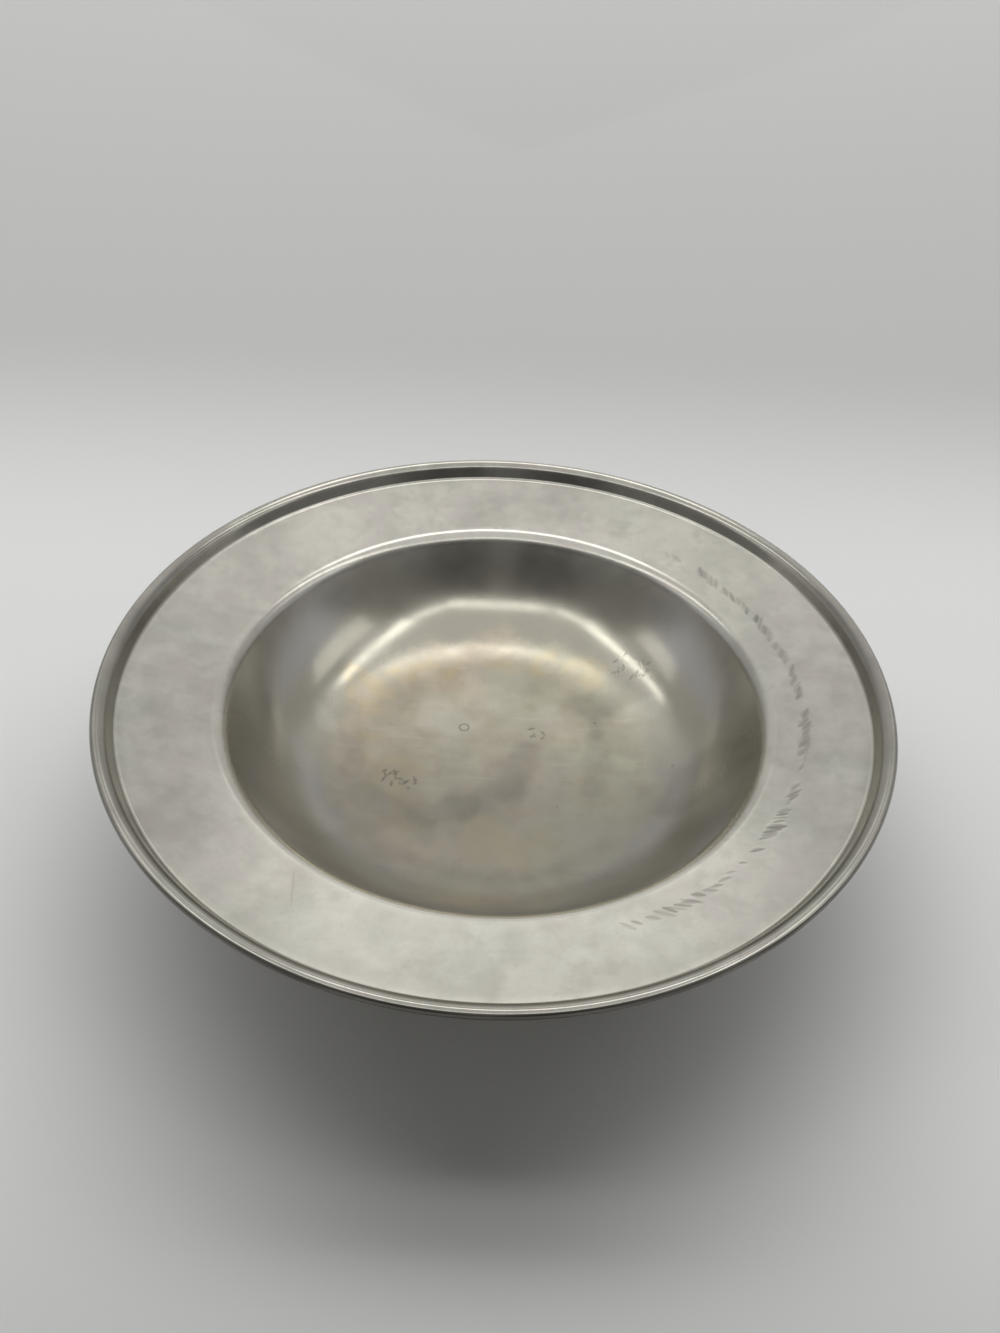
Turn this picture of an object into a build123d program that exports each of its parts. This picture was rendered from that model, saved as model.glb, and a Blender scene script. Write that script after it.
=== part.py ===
from build123d import *
import math
import os

# A pewter bowl with a broad sloping brim, standing on a soldered foot ring.
# The origin is the middle of the ring's flat underside and +Z points up.
# Lengths are in millimetres and angles in degrees.

# Overall size
overall_diameter = 240.0
overall_height = 51.0

# Sheet that the bowl is spun from
sheet = 1.0

# Well
mouth_diameter = 176.1
floor_diameter = 91.0
wall_slope = 68.0
lip_radius = 6.7

# Brim and its raised rim
brim_slope = 13.4
rim_band = 5.7
flank_slope = 68.5
crease_radius = 1.8
shoulder_radius = 4.2
shoulder_slope = 20.0

# Wire inside the rolled rim
wire_diameter = 0.9
wire_clearance = 0.05
wire_end_gap = 0.5
hem_gap = 0.2

# Foot ring
foot_height = 4.0
foot_width = 2.4
foot_flare = 8.0
foot_edge_radius = 0.5

# Solder seams beside the foot ring
solder_leg = 1.2
solder_hollow = 0.15
solder_clearance = 0.03
solder_margin = 0.4

# Places that follow from the sizes
floor_top = foot_height + sheet
floor_radius = floor_diameter / 2
roll_bore_radius = wire_diameter / 2 + wire_clearance
roll_radius = roll_bore_radius + sheet
roll_centre_radius = overall_diameter / 2 - roll_radius
roll_centre_height = overall_height - roll_radius
foot_seat_radius = floor_radius - solder_margin - solder_leg - solder_clearance
foot_lean = foot_height * math.tan(math.radians(foot_flare))


def heading(angle):
    """Unit step along a slope, in the plane of radius and height."""
    turn = math.radians(angle)
    return Vector(math.cos(turn), math.sin(turn))


def upward(angle):
    """Unit step square to a slope, out of the sheet's upper side."""
    turn = math.radians(angle)
    return Vector(-math.sin(turn), math.cos(turn))


def joint_of_two_arcs(start, start_angle, end, end_angle):
    """Point and slope where two arcs meet that run smoothly from start to end."""
    first = heading(start_angle)
    last = heading(end_angle)
    chord = end - start
    spread = 2 * (1 - first.dot(last))
    along = chord.dot(first + last)
    reach = (math.sqrt(along ** 2 + spread * chord.dot(chord)) - along) / spread
    point = (start + end + (first - last) * reach) * 0.5
    step = point - start
    angle = 2 * math.degrees(math.atan2(step.Y, step.X)) - start_angle
    return point, angle


def well_stations(mouth):
    """Upper side of the floor, the wall's two arcs and the rounded lip."""
    floor_centre = Vector(0, floor_top)
    floor_edge = Vector(floor_radius, floor_top)
    lip_centre = mouth - upward(brim_slope) * lip_radius
    wall_top = lip_centre + upward(wall_slope) * lip_radius
    bend, bend_slope = joint_of_two_arcs(floor_edge, 0, wall_top, wall_slope)
    return [(floor_centre, 0), (floor_edge, 0), (bend, bend_slope), (wall_top, wall_slope), (mouth, brim_slope)]


def hem_slope():
    """Slope at which the roll ends, a gap short of the shoulder's underside."""
    offset = shoulder_radius - roll_radius
    reach = shoulder_radius - sheet - hem_gap
    turn = math.acos((reach ** 2 - offset ** 2 - roll_radius ** 2) / (2 * offset * roll_radius))
    return shoulder_slope + math.degrees(turn) - 360


def rim_stations(crease, roll_centre, flank_top):
    """Upper side of the crease, the rim's flank, its rounded shoulder and the roll around the wire."""
    trim = crease_radius * math.tan(math.radians((flank_slope - brim_slope) / 2))
    stations = [
        (crease - heading(brim_slope) * trim, brim_slope),
        (crease + heading(flank_slope) * trim, flank_slope),
        (flank_top, flank_slope),
    ]
    for slope in (shoulder_slope, 0, -90, -180, hem_slope()):
        stations.append((roll_centre + upward(slope) * roll_radius, slope))
    return stations


def body_stations():
    """Upper side of the whole sheet from the axis to the hem, as points with slopes."""
    roll_centre = Vector(roll_centre_radius, roll_centre_height)
    shoulder_centre = roll_centre - upward(shoulder_slope) * (shoulder_radius - roll_radius)
    flank_top = shoulder_centre + upward(flank_slope) * shoulder_radius
    flank_width = flank_top.X - (overall_diameter / 2 - rim_band)
    crease = flank_top - Vector(flank_width, flank_width * math.tan(math.radians(flank_slope)))
    brim_width = crease.X - mouth_diameter / 2
    mouth = crease - Vector(brim_width, brim_width * math.tan(math.radians(brim_slope)))
    return well_stations(mouth) + rim_stations(crease, roll_centre, flank_top)


def side_of_sheet(stations, depth):
    """Draws the sheet's side that lies at a depth under its upper side; returns its two ends."""
    points = [point - upward(slope) * depth for point, slope in stations]
    slopes = [slope for point, slope in stations]
    for index in range(len(points) - 1):
        start, end = points[index], points[index + 1]
        if slopes[index] == slopes[index + 1]:
            Line(start, end)
        else:
            TangentArc(start, end, tangent=heading(slopes[index]))
    return points[0], points[-1]


def make_bowl_body():
    """Bowl spun from one sheet, with its rim rolled over and under."""
    with BuildPart() as body:
        with BuildSketch(Plane.XZ):
            with BuildLine():
                stations = body_stations()
                upper_axis, upper_hem = side_of_sheet(stations, 0)
                lower_axis, lower_hem = side_of_sheet(stations, sheet)
                Line(upper_axis, lower_axis)
                Line(upper_hem, lower_hem)
            make_face()
        revolve(axis=Axis.Z)
    return body.part


def make_rim_wire():
    """Round wire trapped in the roll, its two ends a small gap apart."""
    gap_angle = math.degrees(wire_end_gap / roll_centre_radius)
    with BuildPart() as wire:
        with BuildSketch(Plane.XZ):
            with Locations((roll_centre_radius, roll_centre_height)):
                Circle(wire_diameter / 2)
        revolve(axis=Axis.Z, revolution_arc=360 - gap_angle)
    return wire.part


def make_foot_ring():
    """Ring with leaning sides: flat seat above, flat rest below, rounded lower edges."""
    with BuildPart() as ring:
        with BuildSketch(Plane.XZ) as section:
            with BuildLine():
                Polyline(
                    (foot_seat_radius - foot_width, foot_height),
                    (foot_seat_radius, foot_height),
                    (foot_seat_radius + foot_lean, 0),
                    (foot_seat_radius + foot_lean - foot_width, 0),
                    close=True,
                )
            make_face()
            fillet(section.vertices().group_by(Axis.Z)[0], foot_edge_radius)
        revolve(axis=Axis.Z)
    return ring.part


def make_foot_solder(seat_radius, side):
    """Hollow solder fillet between the floor's underside and one side of the ring; side is 1 or -1."""
    corner = Vector(seat_radius + side * solder_clearance, foot_height)
    floor_end = corner + Vector(side * solder_leg, 0)
    ring_end = corner + Vector(solder_leg * math.tan(math.radians(foot_flare)), -solder_leg)
    with BuildPart() as seam:
        with BuildSketch(Plane.XZ):
            with BuildLine():
                Line(corner, floor_end)
                SagittaArc(floor_end, ring_end, -side * solder_hollow)
                Line(ring_end, corner)
            make_face()
        revolve(axis=Axis.Z)
    return seam.part


def main():
    nodes = {
        "bowl_body": make_bowl_body(),
        "rim_wire": make_rim_wire(),
        "foot_ring": make_foot_ring(),
        "foot_solder_outer": make_foot_solder(foot_seat_radius, 1),
        "foot_solder_inner": make_foot_solder(foot_seat_radius - foot_width, -1),
    }
    os.makedirs("parts", exist_ok=True)
    for name, solid in nodes.items():
        export_step(solid, f"parts/{name}.step")


main()
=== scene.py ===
import math
import random
from bisect import bisect_right
from collections import namedtuple
import bmesh
import bpy
from mathutils import Matrix, Vector, noise


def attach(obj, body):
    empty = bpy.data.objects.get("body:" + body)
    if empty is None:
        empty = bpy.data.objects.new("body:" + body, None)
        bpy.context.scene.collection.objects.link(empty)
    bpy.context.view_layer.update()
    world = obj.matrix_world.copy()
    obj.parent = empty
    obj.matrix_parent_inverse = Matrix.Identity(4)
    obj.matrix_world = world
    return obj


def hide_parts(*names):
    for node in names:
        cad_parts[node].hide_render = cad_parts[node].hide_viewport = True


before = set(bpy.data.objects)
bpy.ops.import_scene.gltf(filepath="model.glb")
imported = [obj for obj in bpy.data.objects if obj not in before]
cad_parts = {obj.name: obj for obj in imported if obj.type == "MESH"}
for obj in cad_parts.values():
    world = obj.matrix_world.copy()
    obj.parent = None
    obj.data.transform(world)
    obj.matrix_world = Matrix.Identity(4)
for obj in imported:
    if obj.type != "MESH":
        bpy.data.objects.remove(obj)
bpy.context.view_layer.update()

# A pewter bowl with a broad sloping brim, standing on a soldered foot ring.
# Lengths are in metres and angles in degrees; -Y is towards the viewer.
MM = 0.001

# Sizes of the solids, as in the part's source
overall_diameter = 240.0 * MM
overall_height = 51.0 * MM
sheet = 1.0 * MM
mouth_diameter = 176.1 * MM
floor_diameter = 91.0 * MM
wall_slope = 68.0
lip_radius = 6.7 * MM
brim_slope = 13.4
rim_band = 5.7 * MM
flank_slope = 68.5
crease_radius = 1.8 * MM
shoulder_radius = 4.2 * MM
shoulder_slope = 20.0
wire_diameter = 0.9 * MM
wire_clearance = 0.05 * MM
hem_gap = 0.2 * MM
foot_height = 4.0 * MM
foot_width = 2.4 * MM
foot_flare = 8.0
foot_edge_radius = 0.5 * MM
solder_leg = 1.2 * MM
solder_hollow = 0.15 * MM
solder_clearance = 0.03 * MM
solder_margin = 0.4 * MM

# Places that follow from the sizes
floor_top = foot_height + sheet
floor_radius = floor_diameter / 2
mouth_radius = mouth_diameter / 2
crease_ring = overall_diameter / 2 - rim_band
roll_bore_radius = wire_diameter / 2 + wire_clearance
roll_radius = roll_bore_radius + sheet
roll_centre_radius = overall_diameter / 2 - roll_radius
roll_centre_height = overall_height - roll_radius
foot_seat_radius = floor_radius - solder_margin - solder_leg - solder_clearance
foot_lean = foot_height * math.tan(math.radians(foot_flare))

# Camera, fitted to the ellipses of the rim, the crease and the mouth
image_height = 1333
focal_pixels = 1000.0
sensor_long_side = 36.0
camera_place = (0.88 * MM, -233.05 * MM, 253.75 * MM)
camera_right = (0.9989, 0.0308, 0.0347)
camera_up = (-0.0464, 0.6630, 0.7472)
camera_clip = (0.01, 50)

# Mesh steps
bowl_columns = 360
foot_columns = 240
seam_columns = 360
row_step = 1.5 * MM
arc_step = 3.0
table_row_step = 0.1 * MM
table_arc_step = 0.25
refine_cuts = 5
rounding_steps = 6
seam_steps = 8

# Lengths that count as nothing: from the axis to a point on it, and of a mark
on_axis = 1e-7
shortest = 1e-6


def heading(angle):
    """Unit step along a slope, in the plane of radius and height."""
    turn = math.radians(angle)
    return Vector((math.cos(turn), math.sin(turn)))


def upward(angle):
    """Unit step square to a slope, out of the sheet's upper side."""
    turn = math.radians(angle)
    return Vector((-math.sin(turn), math.cos(turn)))


def joint_of_two_arcs(start, start_angle, end, end_angle):
    """Point and slope where two arcs meet that run smoothly from start to end."""
    first = heading(start_angle)
    last = heading(end_angle)
    chord = end - start
    spread = 2 * (1 - first.dot(last))
    along = chord.dot(first + last)
    reach = (math.sqrt(along ** 2 + spread * chord.dot(chord)) - along) / spread
    point = (start + end + (first - last) * reach) * 0.5
    step = point - start
    angle = 2 * math.degrees(math.atan2(step.y, step.x)) - start_angle
    return point, angle


def well_stations(mouth):
    """Upper side of the floor, the wall's two arcs and the rounded lip."""
    floor_edge = Vector((floor_radius, floor_top))
    lip_centre = mouth - upward(brim_slope) * lip_radius
    wall_top = lip_centre + upward(wall_slope) * lip_radius
    bend, bend_slope = joint_of_two_arcs(floor_edge, 0, wall_top, wall_slope)
    return [
        (Vector((0, floor_top)), 0),
        (floor_edge, 0),
        (bend, bend_slope),
        (wall_top, wall_slope),
        (mouth, brim_slope),
    ]


def hem_slope():
    """Slope at which the roll ends, a gap short of the shoulder's underside."""
    offset = shoulder_radius - roll_radius
    reach = shoulder_radius - sheet - hem_gap
    turn = math.acos((reach ** 2 - offset ** 2 - roll_radius ** 2) / (2 * offset * roll_radius))
    return shoulder_slope + math.degrees(turn) - 360


def rim_stations(crease, roll_centre, flank_top):
    """Upper side of the crease, the rim's flank, its rounded shoulder and the roll around the wire."""
    trim = crease_radius * math.tan(math.radians((flank_slope - brim_slope) / 2))
    stations = [
        (crease - heading(brim_slope) * trim, brim_slope),
        (crease + heading(flank_slope) * trim, flank_slope),
        (flank_top, flank_slope),
    ]
    for slope in (shoulder_slope, 0, -90, -180, hem_slope()):
        stations.append((roll_centre + upward(slope) * roll_radius, slope))
    return stations


def body_stations():
    """Upper side of the whole sheet from the axis to the hem, as points with slopes."""
    roll_centre = Vector((roll_centre_radius, roll_centre_height))
    shoulder_centre = roll_centre - upward(shoulder_slope) * (shoulder_radius - roll_radius)
    flank_top = shoulder_centre + upward(flank_slope) * shoulder_radius
    flank_width = flank_top.x - crease_ring
    crease = flank_top - Vector((flank_width, flank_width * math.tan(math.radians(flank_slope))))
    brim_width = crease.x - mouth_radius
    mouth = crease - Vector((brim_width, brim_width * math.tan(math.radians(brim_slope))))
    return well_stations(mouth) + rim_stations(crease, roll_centre, flank_top)


def points_between(start, start_angle, end, end_angle, length_step, angle_step):
    """Points with slopes from start up to, but not including, end: on a line or on a tangent arc."""
    chord = end - start
    turn = end_angle - start_angle
    steps = max(1, math.ceil(chord.length / length_step), math.ceil(abs(turn) / angle_step))
    if turn == 0:
        return [(start + chord * (step / steps), start_angle) for step in range(steps)]
    radius = chord.length / (2 * math.sin(math.radians(turn) / 2))
    centre = start + upward(start_angle) * radius
    found = []
    for step in range(steps):
        angle = start_angle + turn * step / steps
        found.append((centre - upward(angle) * radius, angle))
    return found


def sampled_sheet(length_step, angle_step):
    """Upper side of the sheet as a row of points with slopes, from the axis to the hem."""
    stations = body_stations()
    row = []
    for (start, start_angle), (end, end_angle) in zip(stations, stations[1:]):
        row += points_between(start, start_angle, end, end_angle, length_step, angle_step)
    return row + [stations[-1]]


def height_table():
    """Close points of the upper side from the axis to the crease, to look heights up in."""
    table = []
    for point, angle in sampled_sheet(table_row_step, table_arc_step):
        if angle > brim_slope and point.x > mouth_radius:
            break
        table.append(point)
    return table


def height_at(table, radius):
    """Height of the upper side at a radius inside the crease."""
    after = bisect_right(table, radius, 1, len(table) - 1, key=lambda point: point.x)
    low, high = table[after - 1], table[after]
    return low.y + (high.y - low.y) * ((radius - low.x) / (high.x - low.x))


def revolved(profile, columns, closed):
    """Turns a profile about Z; a point on the axis becomes one vertex and a closed profile joins its ends."""
    mesh = bmesh.new()
    rings = []
    for point in profile:
        if point.x < on_axis:
            rings.append([mesh.verts.new((0, 0, point.y))] * columns)
            continue
        ring = []
        for column in range(columns):
            turn = 2 * math.pi * column / columns
            ring.append(mesh.verts.new((point.x * math.cos(turn), point.x * math.sin(turn), point.y)))
        rings.append(ring)
    pairs = list(zip(rings, rings[1:]))
    if closed:
        pairs.append((rings[-1], rings[0]))
    for inner, outer in pairs:
        for column in range(columns):
            after = (column + 1) % columns
            corners = [inner[column], outer[column], outer[after], inner[after]]
            mesh.faces.new(list(dict.fromkeys(corners)))
    bmesh.ops.recalc_face_normals(mesh, faces=mesh.faces)
    return mesh


def to_object(mesh, name, material):
    """Makes a smooth-shaded object of a mesh."""
    data = bpy.data.meshes.new(name)
    mesh.to_mesh(data)
    mesh.free()
    data.polygons.foreach_set("use_smooth", [True] * len(data.polygons))
    data.materials.append(material)
    thing = bpy.data.objects.new(name, data)
    bpy.context.scene.collection.objects.link(thing)
    return thing


def smooth_step(value, low, high):
    """0 below low, 1 above high and a smooth rise between them."""
    share = min(1.0, max(0.0, (value - low) / (high - low)))
    return share * share * (3 - 2 * share)


def polar(radius, angle):
    """Point in the plane at a radius and an angle from +X."""
    turn = math.radians(angle)
    return Vector((radius * math.cos(turn), radius * math.sin(turn)))


# Runs of chatter marks round the brim: first and last angle, spacing, slant from the radius, half length and
# width in millimetres, and how dark
chatter_runs = [
    (-68, -66, 1.6, 45, 1.9, 0.65, 0.5),
    (-63.8, -59.8, 1.3, 45, 2.1, 0.75, 0.5),
    (-59.6, -57, 1.5, 52, 2.4, 0.65, 0.45),
    (-56.8, -53.6, 1.3, 48, 2.1, 0.7, 0.45),
    (-53, -51, 1.4, 55, 1.5, 0.8, 0.35),
    (-49.6, -46, 1.5, 62, 1.5, 0.6, 0.3),
    (-44.8, -43.8, 1.2, 50, 0.9, 0.55, 0.3),
    (-41, -40, 1.2, 45, 1.5, 0.7, 0.42),
    (-37.4, -34.2, 0.9, 45, 1.9, 0.85, 0.62),
    (-33.2, -28.6, 1.25, 42, 2, 0.6, 0.5),
    (-28, -23, 1.3, 68, 2.2, 0.75, 0.38),
    (-19.2, -16, 1.6, 84, 1.5, 0.5, 0.25),
    (-15.2, -9.4, 1.2, 62, 2, 1.25, 0.42),
    (-8.4, -4.6, 1.2, 62, 2, 1.2, 0.42),
    (-4.4, -3.2, 1.2, 72, 1.4, 0.6, 0.35),
    (-0.2, 5, 1.2, 62, 2.1, 1.2, 0.45),
    (5.4, 8, 1.6, 66, 2.6, 0.75, 0.45),
    (10.2, 15, 1.4, 64, 1.9, 1.2, 0.36),
    (17.4, 21.4, 1.3, 60, 2.1, 1.15, 0.58),
    (21.8, 25.2, 1.4, 58, 2.2, 1.05, 0.56),
    (26.2, 29.6, 1.5, 60, 2.3, 1, 0.48),
    (31.2, 35, 1.5, 60, 2.3, 1, 0.5),
    (36.6, 42.8, 1.6, 58, 2.4, 1.05, 0.5),
    (48, 51.5, 2, 66, 2.3, 1, 0.22),
]

# Chatter marks: their ring, stray and depth in millimetres, lean, and spread of strength and spacing
scuff_radius = 95.7 * MM
chatter_stray = 0.5
chatter_depth = 0.035
chatter_lean = 12
chatter_strength = (0.45, 1.1)
chatter_spacing = (0.6, 1.6)

# Spread of the lengths and widths of marks
mark_spread = (0.7, 1.25)

# Ring mark on the floor: middle, radius, sides, width and depth in millimetres, and how dark
ring_middle = (-10.7, 14.4)
ring_radius = 1.7
ring_sides = 10
ring_press = (0.36 * MM, 0.02 * MM, 0.65)

# Clusters of scratches in the well: middle, number, reach, longest and width in millimetres, and how dark
scratch_clusters = [
    ((15, 13.2), 9, 2.4, 2.4, 0.44, 0.85),
    ((-33, -9), 10, 3, 3, 0.5, 0.85),
    ((-27.5, -13.5), 9, 2.6, 3, 0.5, 0.85),
    ((44, 45), 8, 3, 2.4, 0.6, 0.45),
    ((51, 40), 7, 3, 2.4, 0.6, 0.45),
]
shortest_scratch = 0.2
scratch_depth = 0.03
scratch_strength = (0.5, 1.0)

# Pits in the well: place and width, then stretch and depth, all in millimetres, and how dark
pits = [(35.2, 19.5, 1.0), (21.3, -19.9, 0.6), (60.0, -2.5, 0.8)]
pit_stretch = (0.3, 0.1)
pit_depth = 0.05
pit_dark = 0.5

# Fine scratch across the brim: radius and angle of its ends, width and depth, and how dark
brim_scratch_ends = [(90.3 * MM, -123.8), (100.7 * MM, -118.7)]
brim_scratch_press = (0.25 * MM, 0.012 * MM, 0.16)

# Shape of a mark: width at its ends against the middle, and place and height of the burr along one side
mark_tip = 0.4
burr_place = 1.7
burr_height = 0.5

# Faces are divided this near to a mark, if this far inside the crease and facing up; a mark presses nothing
# further than its span from its start
mark_reach = 2.2 * MM
crease_margin = 2 * MM
least_upward = 0.3
mark_span = 13 * MM

# Unevenness of the sheet: features to the metre, seed and height in millimetres, and radii where it fades out
slow_wave = (28, 0.3, 0.07)
quick_wave = (75, 7.1, 0.02)
close_wave = (170, 2.6, 0.02)
wave_fade = (104 * MM, 113 * MM)
close_wave_fade = (54 * MM, 66 * MM)

# Seed of the random draws and of the vector noise, which without one takes its offsets from the clock
fixed_seed = 7

# A mark or stain: its ends, width and depth in metres, and how dark it is
Mark = namedtuple("Mark", "start end width depth dark")


def chatter_marks(dice):
    """Short marks that a chattering tool left in runs round the brim."""
    marks = []
    for first, last, spacing, slant, half_length, width, dark in chatter_runs:
        angle = first
        while angle < last:
            middle = polar(scuff_radius + dice.uniform(-chatter_stray, chatter_stray) * MM, angle)
            lean = angle + slant + dice.uniform(-chatter_lean, chatter_lean)
            half = polar(half_length * dice.uniform(*mark_spread) * MM, lean)
            strength = dice.uniform(*chatter_strength)
            breadth = width * dice.uniform(*mark_spread) * MM
            depth = chatter_depth * strength * MM
            marks.append(Mark(middle - half, middle + half, breadth, depth, dark * strength))
            angle += spacing * dice.uniform(*chatter_spacing)
    return marks


def ring_marks():
    """Short marks that make a small ring on the floor."""
    middle = Vector(ring_middle) * MM
    turn = 360 / ring_sides
    corners = [middle + polar(ring_radius * MM, side * turn) for side in range(ring_sides + 1)]
    return [Mark(start, end, *ring_press) for start, end in zip(corners, corners[1:])]


def well_scratches(dice):
    """Clusters of short scratches on the floor and the lower wall."""
    marks = []
    for middle, number, reach, longest, width, dark in scratch_clusters:
        for _ in range(number):
            stray = Vector((dice.uniform(-1, 1), dice.uniform(-1, 1))) * reach * MM
            start = Vector(middle) * MM + stray
            end = start + polar(dice.uniform(shortest_scratch, longest) * MM, dice.uniform(0, 360))
            strength = dice.uniform(*scratch_strength)
            breadth = width * dice.uniform(*mark_spread) * MM
            marks.append(Mark(start, end, breadth, scratch_depth * strength * MM, dark * strength))
    return marks


def pit_marks():
    """Small pits in the floor and the lower wall."""
    marks = []
    for x, y, width in pits:
        spot = Vector((x, y)) * MM
        marks.append(Mark(spot, spot + Vector(pit_stretch) * MM, width * MM, pit_depth * MM, pit_dark))
    return marks


def brim_scratch():
    """One fine scratch across the brim near the viewer."""
    start, end = [polar(*place) for place in brim_scratch_ends]
    return [Mark(start, end, *brim_scratch_press)]


def distance_to(mark, place):
    """Where a place lies at a mark: signed distance across it, distance past its ends and share along it."""
    line = mark.end - mark.start
    length = max(line.length, shortest)
    step = line / length
    offset = place - mark.start
    along = offset.dot(step)
    across = offset.x * -step.y + offset.y * step.x
    past = max(0.0, -along, along - length)
    return across, past, min(1.0, max(0.0, along / length))


def pressed_by(mark, place):
    """How deep a mark presses a place in, less the burr along one side, and how dark it makes it."""
    across, past, share = distance_to(mark, place)
    width = mark.width * (mark_tip + (1 - mark_tip) * math.sin(math.pi * share))
    fade = math.exp(-(past / width) ** 2)
    groove = math.exp(-(across / width) ** 2) * fade
    burr = math.exp(-((across - burr_place * width) / width) ** 2) * fade
    return mark.depth * (groove - burr_height * burr), mark.dark * groove


def near_marks(marks, place):
    """True where a place lies within reach of some mark."""
    offsets = (distance_to(mark, place) for mark in marks)
    return any(max(abs(across), past) < mark_reach for across, past, _ in offsets)


def refine_marked_faces(mesh, marks):
    """Divides the faces under the marks; returns the new vertices and all those that the marks may press."""
    before = len(mesh.verts)
    mesh.verts.index_update()
    chosen = set()
    for face in mesh.faces:
        place = face.calc_center_median().to_2d()
        if face.normal.z < least_upward or place.length > crease_ring - crease_margin:
            continue
        if near_marks(marks, place):
            chosen.update(face.edges)
    corners = {vertex.index for edge in chosen for vertex in edge.verts}
    bmesh.ops.subdivide_edges(mesh, edges=list(chosen), cuts=refine_cuts, use_grid_fill=True)
    mesh.verts.ensure_lookup_table()
    fresh = mesh.verts[before:]
    return fresh, fresh + [mesh.verts[index] for index in sorted(corners)]


def settle_on_sheet(vertices):
    """Puts new vertices on the true upper side of the sheet."""
    table = height_table()
    for vertex in vertices:
        vertex.co.z = height_at(table, vertex.co.to_2d().length)


def swell(place, wave):
    """Height of one wave at a place, in millimetres."""
    features, seed, height = wave
    return height * noise.noise(Vector((place.x * features, place.y * features, seed)))


def make_uneven(vertices):
    """Gives the sheet the gentle unevenness of spun metal, fading out before the rim."""
    for vertex in vertices:
        place = vertex.co.to_2d()
        fade = 1 - smooth_step(place.length, *wave_fade)
        close = swell(place, close_wave) * (1 - smooth_step(place.length, *close_wave_fade))
        vertex.co.z += fade * (swell(place, slow_wave) + swell(place, quick_wave) + close) * MM


def press_marks(worn, vertices, marks):
    """Presses the marks into the upper side and keeps how worn each vertex is."""
    for vertex in vertices:
        place = vertex.co.to_2d()
        total = 0.0
        for mark in marks:
            if abs(place.x - mark.start.x) > mark_span or abs(place.y - mark.start.y) > mark_span:
                continue
            depth, dark = pressed_by(mark, place)
            total += depth
            vertex[worn] = max(vertex[worn], dark)
        vertex.co.z -= total


# Stains in the well: start and end in millimetres, width in millimetres and strength
stains = [
    (-22, -26, -8, -22, 6, 0.28),
    (-8, -22, 6, -13, 6.5, 0.25),
    (6, -13, 11, 3, 6.5, 0.24),
    (-50.5, 20, -47, -8, 5, 0.22),
    (-43, -18, -20, -31, 6, 0.25),
    (35.5, 19.5, 36.5, 12, 3, 0.16),
    (37, 12, 33, -12, 6, 0.18),
    (36, 24, 30, 30, 7, 0.16),
]

# Shares of its width at which a stain begins to fade and has faded
stain_edge = (0.5, 1.15)

# Painted shade on the floor near the viewer: strength, rise towards -Y, radii where it fades and wander of
# its edge
near_floor_shade = 0.62
near_floor_shade_rise = (-32 * MM, 28 * MM)
near_floor_shade_fade = (52 * MM, 72 * MM)
near_floor_shade_wander = 2

# Painted shade on the wall beside the viewer: strength, radii where it rises and fades, start along Y, which
# shifts up the wall, length, end, and share of X in the radius
side_wall_shade = 0.50
side_rise = (60 * MM, 68 * MM)
side_fade = (80 * MM, 86 * MM)
side_start = 4 * MM
side_start_shift = 18 * MM
side_shift_radii = (70 * MM, 77 * MM)
side_length = 26 * MM
side_end = (36 * MM, 52 * MM)
side_share = (0.35, 0.7)


def side_of_wall(place):
    """1 on the wall to the left and right of the viewer and 0 elsewhere, with soft edges."""
    radius = max(place.length, shortest)
    ring = smooth_step(radius, *side_rise) * (1 - smooth_step(radius, *side_fade))
    start = side_start + side_start_shift * smooth_step(radius, *side_shift_radii)
    facing = smooth_step(start - place.y, 0, side_length) * (1 - smooth_step(-place.y, *side_end))
    return ring * facing * smooth_step(abs(place.x) / radius, *side_share)


# Broad patches that are dull, rubbed pale or stained golden: place and reach in millimetres, and strength
dull_patches = [
    (-85, -63, 17, 0.24), (18, 100, 16, 0.17), (-6, 95, 15, 0.19), (-100, -33, 13, 0.07),
    (89, -53, 14, 0.08), (37, 30, 13, 0.25), (-35, 32, 9, 0.12), (66, -13, 15, 0.30),
]
pale_patches = [
    (-39, -99, 18, 0.34), (-67, 74, 17, 0.36), (44, -94.5, 16, 0.16), (70, -71, 14, 0.10),
    (60, 84, 14, 0.16), (-18, 18, 12, 0.30), (0, 36, 15, 0.24), (20, 18, 9, 0.16),
    (-59, 11, 8, 0.20), (56, 25, 9, 0.22), (26, -3, 10, 0.12), (17, -15, 8, 0.10),
    (-54, -33, 10, 0.16), (40, -34, 16, 0.14),
]
golden_patches = [
    (-34, -12, 12, 0.50), (-29, -26, 10, 0.45), (-41, 2, 9, 0.35), (-2, -34, 11, 0.50),
    (13, -36, 9, 0.45), (-22, 46, 9, 0.60), (-36, 40, 9, 0.60), (-46, 30, 9, 0.45),
    (2, 48, 8, 0.45), (16, 48, 8, 0.50), (31, 46, 9, 0.40), (36, -12, 9, 0.25),
]

# Shares of its reach at which a patch begins to fade and has faded: in the well and on the brim
well_patch_edge = (0.55, 1.05)
brim_patch_edge = (0.25, 1.25)

# Wandering edges of patches and stains: features to the metre, seed and reach in millimetres
patch_wander = (60, 9.3, 8)
fine_patch_wander = (210, 5.1, 2)
stain_wander = (130, 4.2, 2.5)


def stray_at(place, wander):
    """How far an edge strays sideways at a place."""
    features, seed, reach = wander
    return noise.noise_vector(Vector((place.x * features, place.y * features, seed))).to_2d() * reach * MM


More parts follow.
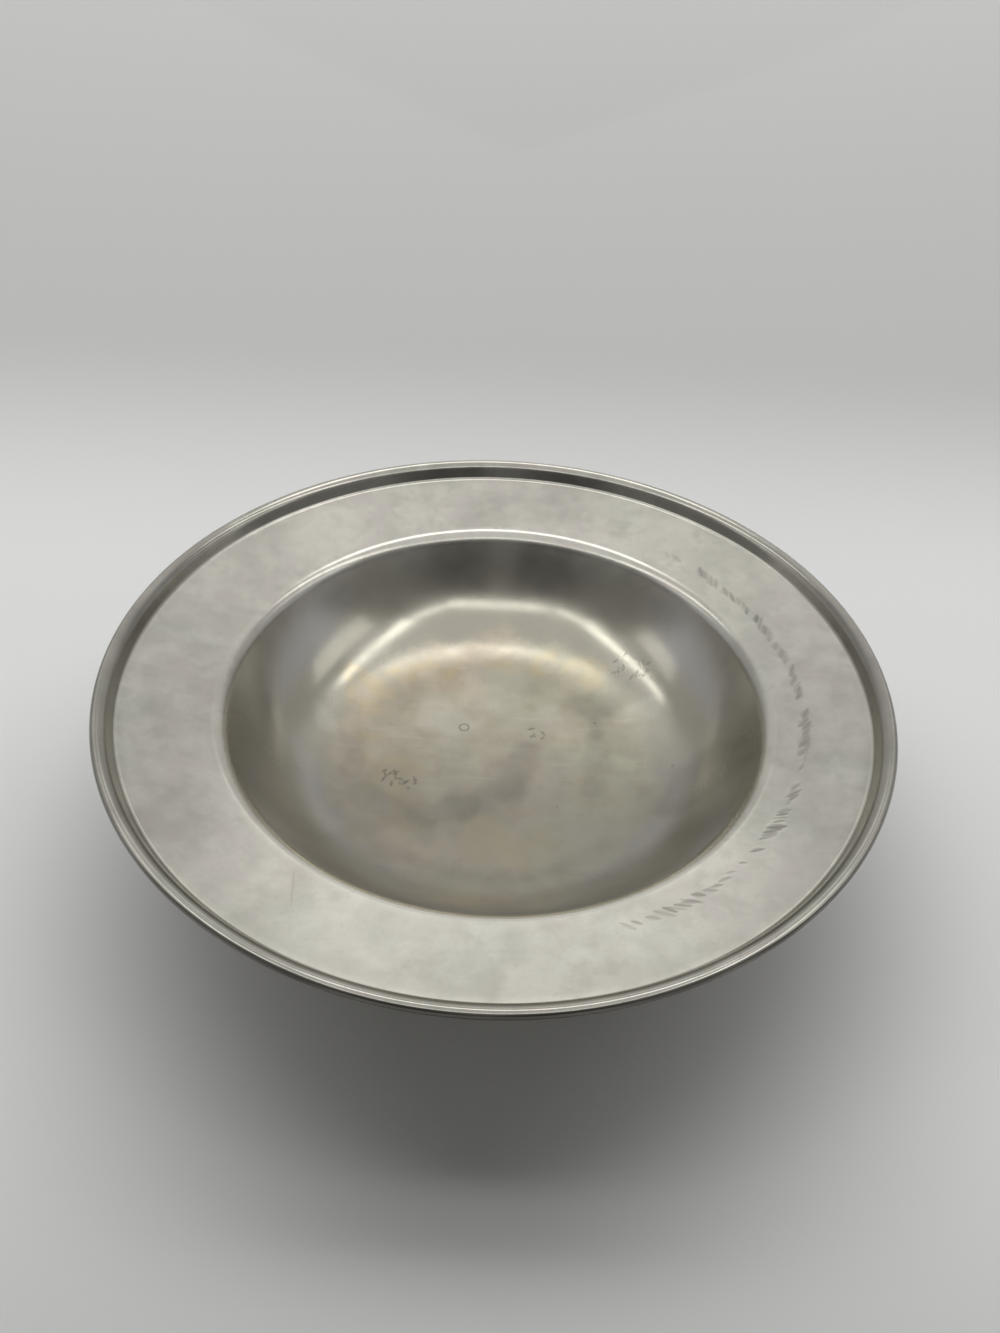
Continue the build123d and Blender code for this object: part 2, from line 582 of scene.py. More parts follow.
def keep_patches(kept, vertices, spots):
    """Keeps how far each vertex lies in some broad patch; the patches' edges wander."""
    for vertex in vertices:
        place = vertex.co.to_2d()
        stray = stray_at(place, patch_wander) + stray_at(place, fine_patch_wander)
        inside = place.length < mouth_radius
        full, end = well_patch_edge if inside else brim_patch_edge
        clear = 1 - vertex[kept]
        for x, y, reach, strength in spots:
            middle = Vector((x, y)) * MM
            if (middle.length < mouth_radius) == inside:
                distance = (place + stray - middle).length / (reach * MM)
                clear *= 1 - strength * (1 - smooth_step(distance, full, end))
        vertex[kept] = 1 - clear


def keep_stains_and_shade(kept, vertices):
    """Keeps how stained each vertex of the well is, with painted shade on the floor near the viewer and on
    the wall beside it; the stains' edges wander.
    """
    strokes = []
    for x0, y0, x1, y1, width, strength in stains:
        strokes.append(Mark(Vector((x0, y0)) * MM, Vector((x1, y1)) * MM, width * MM, 0.0, strength))
    for vertex in vertices:
        place = vertex.co.to_2d()
        if place.length > mouth_radius:
            continue
        stray = stray_at(place, stain_wander)
        fade = 1 - smooth_step(place.length, *near_floor_shade_fade)
        clear = 1 - near_floor_shade * fade * smooth_step(-place.y - near_floor_shade_wander * stray.y, *near_floor_shade_rise)
        clear *= 1 - side_wall_shade * side_of_wall(place)
        for stroke in strokes:
            across, past, _ = distance_to(stroke, place + stray)
            reach = math.hypot(across, past) / stroke.width
            clear *= 1 - stroke.dark * (1 - smooth_step(reach, *stain_edge))
        vertex[kept] = 1 - clear


# Tarnish of the rim by the slope of its upper side, from the outer side of the roll to the flank; the dark
# outer side of the roll is painted shade, the darker flank is tarnish
rim_tarnish_and_painted_shade = [
    (-62, 0.85), (-45, 0.55), (-30, 0.30), (-10, 0.25), (0, 0.25),
    (20, 0.36), (35, 0.50), (50, 0.50), (69, 0.30),
]

# Dirt and painted shade: half width of the crease, share of Y in the radius at the far and near side,
# patches, strength in the crease, less on the far side and in the near crease, and more painted shade on the
# near shoulder
crease_half_width = 1.5 * MM
side_of_rim = (0.3, 0.9)
dirt_shade_features = 60
dirt_shade_patchiness = 0.2
crease_dirt_and_shade = 0.3
far_relief = 0.6
near_relief = 0.8
near_painted_shade = 0.25
near_slopes = (15, 40)


def level_at(table, value):
    """Level at a value, on straight lines between the table's rows and held beyond its ends."""
    if value <= table[0][0]:
        return table[0][1]
    for (low, low_level), (high, high_level) in zip(table, table[1:]):
        if value <= high:
            return low_level + (high_level - low_level) * (value - low) / (high - low)
    return table[-1][1]


def dirt_and_painted_shade_at(place, radius, slope):
    """Dirt in the crease and tarnish on the rim, in patches, with painted shade on the roll's outer side and
    the near shoulder, and lighter on the far side than on the near one as painted shade.
    """
    if radius < crease_ring - crease_half_width:
        return 0.0
    far = smooth_step(place.y / radius, *side_of_rim)
    near = smooth_step(-place.y / radius, *side_of_rim)
    patch = (1.0 + dirt_shade_patchiness * noise.noise(place * dirt_shade_features)) * (1 - far_relief * far)
    if radius < crease_ring + crease_half_width:
        return smooth_step(slope, brim_slope, flank_slope) * crease_dirt_and_shade * patch * (1 - near_relief * near)
    return patch * (level_at(rim_tarnish_and_painted_shade, slope) + near_painted_shade * near * smooth_step(slope, *near_slopes))


def dress(piece, node):
    """Puts a piece on the part in the place of a solid."""
    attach(piece, "root")
    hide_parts(node)


def keep_sides(mesh, row, under, dirt_and_shade):
    """Keeps which vertices are on the underside and how much dirt and painted shade those of the upper side
    take.
    """
    mesh.verts.ensure_lookup_table()
    for vertex in mesh.verts[1 + (len(row) - 1) * bowl_columns:]:
        vertex[under] = 1.0
    for index, (point, slope) in enumerate(row[1:]):
        for vertex in mesh.verts[1 + index * bowl_columns:1 + (index + 1) * bowl_columns]:
            vertex[dirt_and_shade] = dirt_and_painted_shade_at(vertex.co, point.x, slope)


def make_bowl(material):
    """Bowl spun from one sheet, both sides, with its rim rolled over and its marks pressed in."""
    row = sampled_sheet(row_step, arc_step)
    upper = [point for point, slope in row]
    lower = [point - upward(slope) * sheet for point, slope in row]
    mesh = revolved(upper + lower[::-1], bowl_columns, False)
    names = ("worn", "stain_and_shade", "rubbed", "golden", "under", "dirt_and_shade_layer")
    worn, stained_and_shaded, rubbed, golden, under, dirt_and_shade = [mesh.verts.layers.float.new(name) for name in names]
    keep_sides(mesh, row, under, dirt_and_shade)
    noise.seed_set(fixed_seed)
    dice = random.Random(fixed_seed)
    marks = chatter_marks(dice) + ring_marks() + well_scratches(dice) + pit_marks() + brim_scratch()
    fresh, touched = refine_marked_faces(mesh, marks)
    settle_on_sheet(fresh)
    shown = [vertex for vertex in mesh.verts if vertex[under] < 0.5]
    keep_stains_and_shade(stained_and_shaded, shown)
    keep_patches(stained_and_shaded, shown, dull_patches)
    keep_patches(rubbed, shown, pale_patches)
    keep_patches(golden, shown, golden_patches)
    press_marks(worn, touched, marks)
    make_uneven(mesh.verts)
    dress(to_object(mesh, "spun_bowl", material), "bowl_body")


# Nicks in the foot's rest and ripples in the solder: features to the metre, seed, limit and height in mm
nick_features = 400
nick_level = 0.25
nick_height = 0.12
ripple_features = 260
ripple_seed = 1.7
ripple_lowest = -0.6
ripple_height = 0.12


def make_foot(material):
    """Turned ring with leaning sides and rounded lower edges, a little nicked along its rest."""
    seat = foot_seat_radius
    rest = seat + foot_lean
    lean = math.radians(foot_flare)
    rounding = foot_edge_radius
    profile = [Vector((seat - foot_width, foot_height)), Vector((seat, foot_height))]
    for middle, first, last in (
        (rest - rounding * math.tan(math.pi / 4 + lean / 2), foot_flare, -90),
        (rest - foot_width + rounding * math.tan(math.pi / 4 - lean / 2), -90, foot_flare - 180),
    ):
        for step in range(rounding_steps + 1):
            angle = first + (last - first) * step / rounding_steps
            profile.append(Vector((middle, rounding)) + heading(angle) * rounding)
    mesh = revolved(profile, foot_columns, True)
    for vertex in mesh.verts:
        if vertex.co.z < rounding:
            nick = noise.noise(vertex.co * nick_features)
            vertex.co.z += max(0.0, nick - nick_level) * nick_height * MM
    dress(to_object(mesh, "turned_foot", material), "foot_ring")


def make_seam(name, node, seat_radius, side, material):
    """Hollow solder seam in a corner beside the ring, its face rippled; side is 1 or -1."""
    corner = Vector((seat_radius + side * solder_clearance, foot_height))
    floor_end = corner + Vector((side * solder_leg, 0))
    ring_end = corner + Vector((solder_leg * math.tan(math.radians(foot_flare)), -solder_leg))
    chord = ring_end - floor_end
    inward = (corner - (floor_end + ring_end) / 2).normalized()
    face = []
    for step in range(seam_steps + 1):
        share = step / seam_steps
        face.append(floor_end + chord * share + inward * solder_hollow * math.sin(math.pi * share))
    mesh = revolved([corner] + face, seam_columns, True)
    for index, vertex in enumerate(mesh.verts):
        row = index // seam_columns
        if 1 < row < seam_steps + 1:
            spot = Vector((vertex.co.x * ripple_features, vertex.co.y * ripple_features, ripple_seed))
            ripple = max(ripple_lowest, noise.noise(spot))
            depth = math.sin(math.pi * (row - 1) / seam_steps) * ripple * ripple_height * MM
            outward = vertex.co.to_2d().normalized() * inward.x
            vertex.co += Vector((outward.x, outward.y, inward.y)) * depth
    bmesh.ops.recalc_face_normals(mesh, faces=mesh.faces)
    dress(to_object(mesh, name, material), node)


def feed(value, socket):
    """Gives an input a fixed value or another node's output."""
    if isinstance(value, bpy.types.NodeSocket):
        socket.id_data.links.new(value, socket)
    else:
        socket.default_value = value


def beside(socket, kind):
    """New node in the tree that a socket belongs to."""
    return socket.id_data.nodes.new(kind)


def calculate(operation, first, second=0.0):
    """Math node."""
    node = beside(first, "ShaderNodeMath")
    node.operation = operation
    feed(first, node.inputs[0])
    feed(second, node.inputs[1])
    return node.outputs[0]


def product(first, second):
    """Math node that multiplies."""
    return calculate("MULTIPLY", first, second)


def cloud(place, features, detail, seed):
    """Noise from 0 to 1, with so many features to the metre."""
    node = beside(place, "ShaderNodeTexNoise")
    node.noise_dimensions = "4D"
    feed(place, node.inputs["Vector"])
    node.inputs["W"].default_value = seed
    node.inputs["Scale"].default_value = features
    node.inputs["Detail"].default_value = detail
    return node.outputs["Fac"]


def ranged(value, low, high, out_low=0.0, out_high=1.0):
    """Carries a value smoothly from one range to another and holds it there."""
    node = beside(value, "ShaderNodeMapRange")
    node.interpolation_type = "SMOOTHSTEP"
    feed(value, node.inputs["Value"])
    feed(low, node.inputs["From Min"])
    feed(high, node.inputs["From Max"])
    feed(out_low, node.inputs["To Min"])
    feed(out_high, node.inputs["To Max"])
    return node.outputs["Result"]


def patches(place, look, out_low=0.0, out_high=1.0):
    """Cloudy patches: features, detail, seed, and the noise at which they set in and are full."""
    features, detail, seed, low, high = look
    return ranged(cloud(place, features, detail, seed), low, high, out_low, out_high)


def band(value, start, full, last, end):
    """1 from full to last, and 0 before start and after end."""
    return product(ranged(value, start, full), ranged(value, end, last))


def blended(share, first, second):
    """Mixes two colours."""
    node = beside(share, "ShaderNodeMix")
    node.data_type = "RGBA"
    feed(share, node.inputs[0])
    feed(first, node.inputs[6])
    feed(second, node.inputs[7])
    return node.outputs[2]


def raised(height, distance, under=None):
    """Bump node with a height from 0 to 1 and a depth in metres."""
    node = beside(height, "ShaderNodeBump")
    node.inputs["Strength"].default_value = 1.0
    node.inputs["Distance"].default_value = distance
    feed(height, node.inputs["Height"])
    if under is not None:
        feed(under, node.inputs["Normal"])
    return node.outputs["Normal"]


def ramped(share, stops):
    """Grey level on straight lines between stops, which are shares from 0 to 1 with levels."""
    ramp = beside(share, "ShaderNodeValToRGB")
    feed(share, ramp.inputs["Fac"])
    elements = ramp.color_ramp.elements
    while len(elements) < len(stops):
        elements.new(0.5)
    for element, (position, level) in zip(elements, stops):
        element.position = position
        element.color = (level, level, level, 1)
    return ramp.outputs["Color"]


def stretched(place, scale):
    """Place with its axes scaled."""
    node = beside(place, "ShaderNodeMapping")
    node.inputs["Scale"].default_value = scale
    feed(place, node.inputs["Vector"])
    return node.outputs["Vector"]


def parts_of(place):
    """X, Y and Z of a place."""
    node = beside(place, "ShaderNodeSeparateXYZ")
    feed(place, node.inputs[0])
    return node.outputs


def radius_of(place):
    """Distance of a place from the axis."""
    parts = parts_of(place)
    squares = [calculate("POWER", parts[axis], 2.0) for axis in ("X", "Y")]
    return calculate("SQRT", calculate("ADD", *squares))


def layer(place, name):
    """Value that the mesh keeps for each vertex."""
    node = beside(place, "ShaderNodeAttribute")
    node.attribute_name = name
    return node.outputs["Fac"]


def turned_lines(radius, features, seed, detail=2.0):
    """Noise that changes only with the radius, as tool lines on turned metal do."""
    node = beside(radius, "ShaderNodeTexNoise")
    node.noise_dimensions = "1D"
    feed(calculate("ADD", radius, seed), node.inputs["W"])
    node.inputs["Scale"].default_value = features
    node.inputs["Detail"].default_value = detail
    return node.outputs["Fac"]


def new_material(name, metallic):
    """New material, its shader, and the place on the piece."""
    material = bpy.data.materials.new(name)
    material.use_nodes = True
    tree = material.node_tree
    shader = tree.nodes["Principled BSDF"]
    shader.inputs["Metallic"].default_value = metallic
    return material, shader, tree.nodes.new("ShaderNodeTexCoord").outputs["Object"]


# Roughness of the upper side by distance from the axis, in millimetres
roughness_zones = [
    (0, 0.42), (48, 0.42), (56, 0.34), (60, 0.27), (64, 0.20), (67, 0.18),
    (70, 0.16), (74, 0.17), (78, 0.22), (84, 0.25), (86.5, 0.20), (90, 0.24),
    (111, 0.25), (114, 0.19), (117, 0.17), (120, 0.16),
]

# Brim: colours and the clouds that mix them, and for those laid over the others how strong they are
brim_greys = ((0.560, 0.545, 0.478, 1), (0.482, 0.476, 0.415, 1))
brim_shade = (28, 3, 1, 0.36, 0.64)
brim_overlays = [
    ((38, 3.0, 3.0, 0.40, 0.60), 0.7, (0.545, 0.508, 0.462, 1)),
    ((95, 4.0, 6.0, 0.42, 0.66), 0.62, (0.605, 0.593, 0.525, 1)),
    ((170, 4.0, 14.0, 0.45, 0.70), 0.42, (0.440, 0.430, 0.376, 1)),
]

# Floor and wall of the well: the same, with the drift of the floor's tints, its streaks, and where one colour
# gives way to the next along X, along Y and by radius
floor_pink_green = ((0.615, 0.535, 0.420, 1), (0.565, 0.552, 0.430, 1))
pink_to_green = (-35 * MM, 40 * MM)
well_shade = (26, 3, 8, 0.36, 0.64)
drift = 25 * MM
floor_overlays = [
    ((60, 4.0, 9.0, 0.36, 0.62), 0.62, (0.455, 0.425, 0.345, 1)),
    ((150, 4.0, 21.0, 0.46, 0.66), 0.34, (0.420, 0.360, 0.270, 1)),
]
streak_scale = (45, 260, 45)
streak_look = (1, 3, 16, 0.54, 0.74)
streak_share = 0.45
streak_pale = (0.660, 0.625, 0.520, 1)
wall_greys = ((0.487, 0.464, 0.390, 1), (0.462, 0.445, 0.370, 1))
wall_near = (0.472, 0.460, 0.428, 1)
far_to_near_wall = (15 * MM, -35 * MM)
floor_to_wall = (56 * MM, 68 * MM)
wall_side_lift = 0.12
wall_to_brim = (78 * MM, 84 * MM)

# Inside the well the zones stray by up to this much, in clouds, up to these radii
zone_stray = 4 * MM
stray_look = (75, 2, 12, 0.25, 0.75)
stray_radii = (74 * MM, 66 * MM)

# Neutral collar under the lip at the sides, and painted highlight on the lip near and far: radii, reach along
# X or Y, strength
collar_radii = (70 * MM, 77 * MM, 82.5 * MM, 85.5 * MM)
collar_sides = (50 * MM, 68 * MM)
collar_share = 0.75
collar_grey = (0.520, 0.512, 0.505, 1)
lip_highlight_radii = (82.5 * MM, 85 * MM, 86.5 * MM, 88.5 * MM)
near_lip_highlight = (-55 * MM, -85 * MM, 0.0, 0.85)
far_lip_highlight = (62 * MM, 87 * MM, 0.0, 0.35)

# Stains, dirt, painted shade, painted lip highlight and underside
golden_look = (130, 4, 23, 0.42, 0.56)
golden_least = 0.15
golden_stain = (0.590, 0.490, 0.300, 1)
rubbed_and_highlight_pale = (0.740, 0.722, 0.645, 1)
stain_and_shade_dark = (0.150, 0.144, 0.128, 1)
speckle_look = (700, 3, 2, 0.5, 0.72)
speckle_share = 0.10
speckle_grey = (0.36, 0.345, 0.30, 1)
rim_dirt_and_shade = (0.10, 0.094, 0.082, 1)
mark_dirt = (0.12, 0.11, 0.09, 1)
under_look = (60, 5, 11, 0.3, 0.7)
under_greys = ((0.47, 0.455, 0.415, 1), (0.38, 0.365, 0.32, 1))

# Roughness that clouds add or take, that the near wall adds, and least of the underside
rough_look = (120, 3, 4, 0.3, 0.7)
rough_drift = 0.02
near_wall_radii = (56 * MM, 66 * MM, 80 * MM, 85 * MM)
near_wall_rough = (5 * MM, -35 * MM, 0.0, 0.20)
under_rough = 0.36

# Grain and tool lines, which gain strength underneath
grain_look = (900, 2, 5)
grain_depth = 0.005 * MM
bowl_lines = (900, 3)
bowl_line_depth = 0.003 * MM
under_line_gain = 4.0


def overlaid(place, colour, overlays):
    """Lays cloudy patches of other colours over a colour."""
    for look, share, tint in overlays:
        colour = blended(product(patches(place, look), share), colour, tint)
    return colour


def zoned(radius, zones):
    """Level that runs through the zones with the radius."""
    outer = overall_diameter / 2
    stops = [(edge * MM / outer, level) for edge, level in zones]
    return ramped(calculate("DIVIDE", radius, outer), stops)


def brim_colour(place):
    """Grey pewter with soft pinkish clouds, paler rubbed patches and darker smears."""
    colour = blended(patches(place, brim_shade), *brim_greys)
    return overlaid(place, colour, brim_overlays)


def well_colour(place, radius):
    """Tarnished floor, pinkish to the left and greenish to the right, under a more neutral wall."""
    parts = parts_of(place)
    shade = patches(place, well_shade)
    drifted = calculate("ADD", parts["X"], ranged(shade, 0.0, 1.0, -drift, drift))
    floor = blended(ranged(drifted, *pink_to_green), *floor_pink_green)
    floor = overlaid(place, floor, floor_overlays)
    streaks = patches(stretched(place, streak_scale), streak_look, 0.0, streak_share)
    floor = blended(streaks, floor, streak_pale)
    wall = blended(shade, *wall_greys)
    wall = blended(ranged(parts["Y"], *far_to_near_wall), wall, wall_near)
    lift = product(calculate("ABSOLUTE", parts["X"]), wall_side_lift)
    return blended(ranged(calculate("ADD", radius, lift), *floor_to_wall), floor, wall)


def bowl_colour(place, radius, strayed, under):
    """Colour from the well to the brim, with stains, rubbed patches and dirt, painted shade in the well and
    on the rim, a painted highlight on the lip, and a dull underside.
    """
    parts = parts_of(place)
    well = well_colour(place, strayed)
    colour = blended(ranged(radius, *wall_to_brim), well, brim_colour(place))
    sides = ranged(calculate("ABSOLUTE", parts["X"]), *collar_sides)
    collar = product(band(radius, *collar_radii), product(sides, collar_share))
    colour = blended(collar, colour, collar_grey)
    golden = product(layer(place, "golden"), patches(place, golden_look, golden_least))
    colour = blended(golden, colour, golden_stain)
    # Painted highlight on the lip near and far, laid on together with the rubbed patches
    lips = calculate("ADD", ranged(parts["Y"], *near_lip_highlight), ranged(parts["Y"], *far_lip_highlight))
    lip = product(band(radius, *lip_highlight_radii), lips)
    colour = blended(calculate("MAXIMUM", layer(place, "rubbed"), lip), colour, rubbed_and_highlight_pale)
    # Stains, with painted shade on the floor near the viewer and on the wall beside it
    colour = blended(layer(place, "stain_and_shade"), colour, stain_and_shade_dark)
    colour = blended(patches(place, speckle_look, 0.0, speckle_share), colour, speckle_grey)
    # Dirt in the crease, and painted shade on the roll's outer side and on the near shoulder
    colour = blended(layer(place, "dirt_and_shade_layer"), colour, rim_dirt_and_shade)
    colour = blended(layer(place, "worn"), colour, mark_dirt)
    return blended(under, colour, blended(patches(place, under_look), *under_greys))


def bowl_roughness(place, radius, strayed, under):
    """Roughness by zones, a little cloudy, higher on the near wall and underneath."""
    clouds = patches(place, rough_look, -rough_drift, rough_drift)
    rough = calculate("ADD", zoned(strayed, roughness_zones), clouds)
    near = ranged(parts_of(place)["Y"], *near_wall_rough)
    rough = calculate("ADD", rough, product(band(radius, *near_wall_radii), near))
    return calculate("MAXIMUM", rough, product(under, under_rough))


def bowl_relief(place, radius, under):
    """Fine grain and faint tool lines, which are stronger underneath."""
    grain = raised(cloud(place, *grain_look), grain_depth)
    gain = calculate("ADD", product(under, under_line_gain), 1.0)
    return raised(product(turned_lines(radius, *bowl_lines), gain), bowl_line_depth, grain)


def bowl_pewter():
    """Satin pewter: cloudy on the brim, stained and painted with shade in the well, dark in the marks, dull
    underneath.
    """
    material, shader, place = new_material("bowl_pewter", 1.0)
    radius = radius_of(place)
    under = layer(place, "under")
    stray = patches(place, stray_look, -zone_stray, zone_stray)
    strayed = calculate("ADD", radius, product(stray, ranged(radius, *stray_radii)))
    feed(bowl_colour(place, radius, strayed, under), shader.inputs["Base Color"])
    feed(bowl_roughness(place, radius, strayed, under), shader.inputs["Roughness"])
    feed(bowl_relief(place, radius, under), shader.inputs["Normal"])
    return material


# Hidden wire, foot and solder: colours, clouds, range of roughness, tool lines and depth of the relief
wire_greys = ((0.52, 0.51, 0.48, 1), (0.38, 0.37, 0.34, 1))
wire_look = (220, 3, 4)
wire_rough = (0.3, 0.7, 0.32, 0.5)
wire_lines = (5000, 1)
wire_line_depth = 0.005 * MM
foot_greys = ((0.50, 0.48, 0.44, 1), (0.42, 0.40, 0.355, 1))
foot_bright = (0.62, 0.605, 0.57, 1)
foot_dirt = (0.25, 0.235, 0.20, 1)
foot_look = (160, 4, 2, 0.3, 0.7)
foot_rough = (0.28, 0.40)
foot_rest = (0.6 * MM, 0.1 * MM)
foot_corner = (2.4 * MM, 3.2 * MM)
foot_wear = 0.6
foot_lines = (3000, 5)
foot_line_depth = 0.02 * MM
solder_greys = ((0.47, 0.46, 0.43, 1), (0.34, 0.33, 0.30, 1))
solder_look = (300, 4, 6, 0.3, 0.7)
solder_rough = (0.26, 0.42)
lump_look = (900, 3, 1)
lump_depth = 0.06 * MM


def wire_metal():
    """Drawn wire, dull with age."""
    material, shader, place = new_material("wire_metal", 1.0)
    patch = cloud(place, *wire_look)
    lines = turned_lines(radius_of(place), *wire_lines)
    feed(blended(patch, *wire_greys), shader.inputs["Base Color"])
    feed(ranged(patch, *wire_rough), shader.inputs["Roughness"])
    feed(raised(lines, wire_line_depth), shader.inputs["Normal"])
    return material


def foot_pewter():
    """Turned pewter, dark in its corner and worn bright where it rests."""
    material, shader, place = new_material("foot_pewter", 1.0)
    height = parts_of(place)["Z"]
    patch = patches(place, foot_look)
    colour = blended(patch, *foot_greys)
    colour = blended(product(ranged(height, *foot_rest), foot_wear), colour, foot_bright)
    colour = blended(product(ranged(height, *foot_corner), foot_wear), colour, foot_dirt)
    lines = turned_lines(calculate("ADD", radius_of(place), height), *foot_lines)
    feed(colour, shader.inputs["Base Color"])
    feed(ranged(patch, 0.0, 1.0, *foot_rough), shader.inputs["Roughness"])
    feed(raised(lines, foot_line_depth), shader.inputs["Normal"])
    return material


def solder():
    """Dressed solder, a little darker and lumpier than the pewter."""
    material, shader, place = new_material("solder", 1.0)
    patch = patches(place, solder_look)
    feed(blended(patch, *solder_greys), shader.inputs["Base Color"])
    feed(ranged(patch, 0.0, 1.0, *solder_rough), shader.inputs["Roughness"])
    feed(raised(cloud(place, *lump_look), lump_depth), shader.inputs["Normal"])
    return material


def make_camera():
    """Camera at the photo's viewing angle."""
    data = bpy.data.cameras.new("camera")
    data.sensor_width = sensor_long_side
    data.lens = focal_pixels / image_height * sensor_long_side
    data.clip_start, data.clip_end = camera_clip
    right = Vector(camera_right).normalized()
    up = Vector(camera_up)
    up = (up - right * up.dot(right)).normalized()
    back = right.cross(up)
    turn = Matrix((right, up, back)).transposed().to_4x4()
    camera = bpy.data.objects.new("camera", data)
    camera.matrix_world = Matrix.Translation(camera_place) @ turn
    bpy.context.scene.collection.objects.link(camera)
    bpy.context.scene.camera = camera


# Studio floor: cells to a side, half width, gap under the foot, colours painted as a pool of light palest
# round the bowl, where it darkens away from the bowl, faint patches and finish
stage_cells = 40
stage_half_width = 6
stage_gap = 0.2 * MM
stage_painted_light_greys = ((0.87, 0.87, 0.86, 1), (0.58, 0.58, 0.57, 1))
stage_patch = (0.60, 0.60, 0.60, 1)
stage_beyond = (0.10, 0.35)
stage_before = (-0.10, -0.21)
stage_aside = (0.30, 0.60)
stage_look = (6, 3, 2)
stage_patch_share = 0.1
stage_rough = 0.9
stage_specular = 0.1


def pale_floor():
    """Matt floor with a painted pool of light, palest round the bowl."""
    material, shader, place = new_material("pale_floor", 0.0)
    parts = parts_of(place)
    beyond = ranged(parts["Y"], *stage_beyond)
    away = calculate("MAXIMUM", beyond, ranged(parts["Y"], *stage_before))
    aside = ranged(calculate("ABSOLUTE", parts["X"]), *stage_aside)
    painted_light_pool = blended(calculate("MAXIMUM", away, aside), *stage_painted_light_greys)
    patch = product(cloud(place, *stage_look), stage_patch_share)
    feed(blended(patch, painted_light_pool, stage_patch), shader.inputs["Base Color"])
    shader.inputs["Roughness"].default_value = stage_rough
    shader.inputs["Specular IOR Level"].default_value = stage_specular
    return material


def make_floor(material):
    """Wide pale floor just under the foot."""
    mesh = bmesh.new()
    bmesh.ops.create_grid(mesh, x_segments=stage_cells, y_segments=stage_cells, size=stage_half_width)
    bmesh.ops.translate(mesh, vec=(0, 0, -stage_gap), verts=mesh.verts)
    floor = to_object(mesh, "floor", material)


# Lamps overhead: middle, length and width, angle from the X axis, and brightness; the frame of lamps and the
# strips beside it show in the metal only, and the floor lamp lights matt things only
lamp_height = 2.0
lamps = [
    ("far_lamp", (0.08, 0.69), (1.30, 0.46), 0, 2.0),
    ("near_lamp", (0.05, -1.50), (1.75, 0.30), 0, 1.5),
    ("right_lamp", (1.47, 0.04), (1.90, 0.38), 88, 1.8),
    ("left_lamp", (-1.70, -0.04), (2.20, 0.36), 102, 1.9),
    ("right_corner_lamp", (1.16, -1.19), (0.58, 0.22), 46, 1.4),
    ("left_corner_lamp", (-1.16, -1.29), (0.62, 0.24), -37, 1.5),
    ("right_strip", (3.10, 0.20), (2.20, 1.20), 73, 0.58),
    ("left_strip", (-3.50, -0.05), (1.60, 1.30), 104, 0.52),
    ("floor_lamp", (-0.20, 0.55), (2.40, 0.30), 0, 2.6),
]
floor_lamp = "floor_lamp"

# Wide soft light beyond the bowl for the floor: distance, angle up, width, height and brightness
softbox_distance = 6.0
softbox_rise = 50.0
softbox_width = 16.0
softbox_height = 2.1
softbox_level = 4.4


def make_lamp(name, size, level, place, turn):
    """Rectangular area lamp; level is its brightness against white."""
    data = bpy.data.lights.new(name, "AREA")
    data.shape = "RECTANGLE"
    data.size, data.size_y = size
    data.energy = level * math.pi * size[0] * size[1]
    lamp = bpy.data.objects.new(name, data)
    lamp.location = place
    lamp.rotation_euler = turn
    lamp.visible_camera = False
    bpy.context.scene.collection.objects.link(lamp)
    return lamp


def make_lights():
    """Lamps that the metal mirrors, and a lamp and a softbox to light the floor."""
    for name, middle, size, angle, level in lamps:
        lamp = make_lamp(name, size, level, (*middle, lamp_height), (0, 0, math.radians(angle)))
        lamp.visible_diffuse = name == floor_lamp
        lamp.visible_glossy = name != floor_lamp
    rise = math.radians(softbox_rise)
    place = (0, softbox_distance * math.cos(rise), softbox_distance * math.sin(rise))
    size = (softbox_width, softbox_height)
    softbox = make_lamp("softbox", size, softbox_level, place, (rise - math.pi / 2, 0, 0))
    softbox.visible_glossy = False


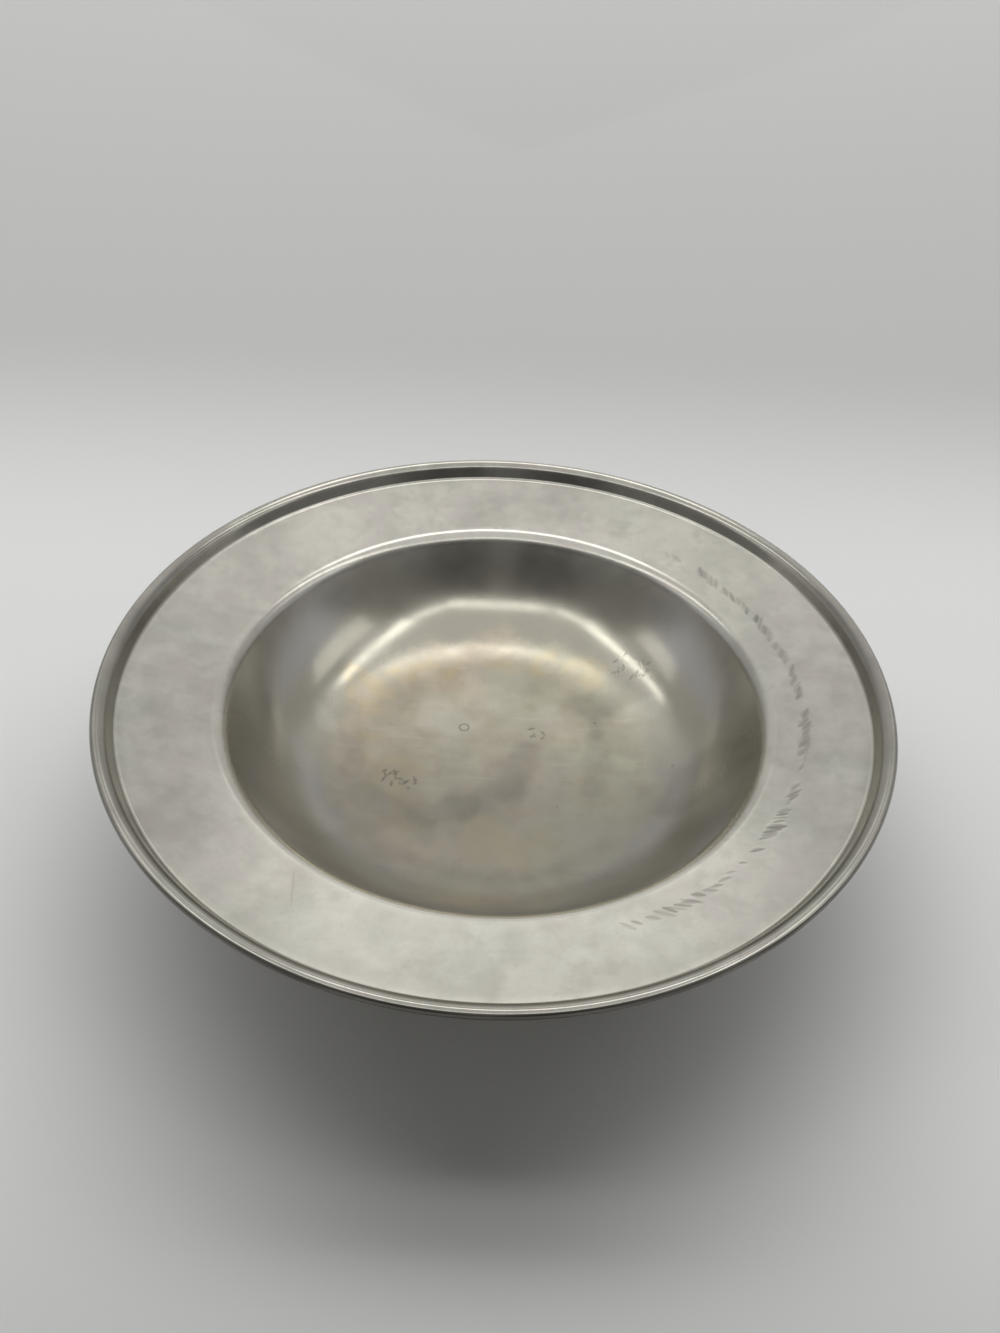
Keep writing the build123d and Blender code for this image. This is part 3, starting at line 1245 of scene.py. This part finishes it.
# Room by the angle up from +Y over the top towards the viewer, as levels in the metal, ahead, between and
# aside, and on matt things
ahead_bands = [
    (0, 0.70), (10, 0.76), (20, 0.84), (25, 1.02), (28, 1.28), (31, 1.52), (33, 1.58),
    (36, 0.70), (39, 0.40), (43, 0.60), (48, 0.68), (51, 0.88), (55, 0.90), (63, 0.66),
    (70, 0.66), (80, 0.75), (122, 0.78), (130, 0.50), (139, 0.25), (150, 0.21), (180, 0.17),
]
between_bands = [
    (0, 0.60), (20, 0.68), (30, 0.72), (42, 0.70), (48, 0.74), (51, 0.86), (55, 0.88), (63, 0.74),
    (70, 0.68), (80, 0.75), (122, 0.78), (130, 0.50), (139, 0.14), (150, 0.10), (180, 0.08),
]
aside_bands = [
    (0, 0.34), (20, 0.44), (48, 0.48), (66, 0.48), (80, 0.54),
    (102, 0.52), (112, 0.42), (125, 0.26), (180, 0.17),
]
matt_bands = [(0, 0.30), (60, 0.13), (180, 0.13)]

# Parts of the room by the size of X: edge of the part between, start of the part aside, which moves out
# overhead and in behind the viewer, and its soft edge; then what the camera sees
between_edge = (0.04, 0.15)
aside_out = (0.25, 0.55, 0.46, 0.60)
aside_in = (0.57, 0.69, 0.0, 0.22)
aside_edge = 0.28
backdrop = (0.5, 0.5, 0.5, 1)


def sky(share, bands):
    """Level that runs through the bands with the angle, given as a share of the half turn."""
    return ramped(share, [(angle / 180, level) for angle, level in bands])


def make_world():
    """Soft room: bright low beyond the bowl, even above and dark behind the viewer."""
    world = bpy.data.worlds.new("soft_room")
    bpy.context.scene.world = world
    world.use_nodes = True
    tree = world.node_tree
    parts = parts_of(tree.nodes.new("ShaderNodeTexCoord").outputs["Generated"])
    rise = calculate("ARCTAN2", parts["Z"], parts["Y"])
    share = calculate("MAXIMUM", calculate("DIVIDE", rise, math.pi), 0.0)
    across = calculate("ABSOLUTE", parts["X"])
    between = ranged(across, *between_edge)
    start = calculate("SUBTRACT", ranged(share, *aside_out), ranged(share, *aside_in))
    aside = ranged(across, start, calculate("ADD", start, aside_edge))
    room = blended(between, sky(share, ahead_bands), sky(share, between_bands))
    room = blended(aside, room, sky(share, aside_bands))
    path = tree.nodes.new("ShaderNodeLightPath").outputs
    room = blended(path["Is Diffuse Ray"], room, sky(share, matt_bands))
    room = blended(path["Is Camera Ray"], room, backdrop)
    feed(room, tree.nodes["Background"].inputs["Color"])


def main():
    bpy.context.scene.view_settings.view_transform = "Standard"
    make_camera()
    make_world()
    make_floor(pale_floor())
    make_lights()
    make_bowl(bowl_pewter())
    make_foot(foot_pewter())
    seam = solder()
    make_seam("solder_seam_outer", "foot_solder_outer", foot_seat_radius, 1, seam)
    make_seam("solder_seam_inner", "foot_solder_inner", foot_seat_radius - foot_width, -1, seam)
    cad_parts["rim_wire"].material_slots[0].material = wire_metal()


main()
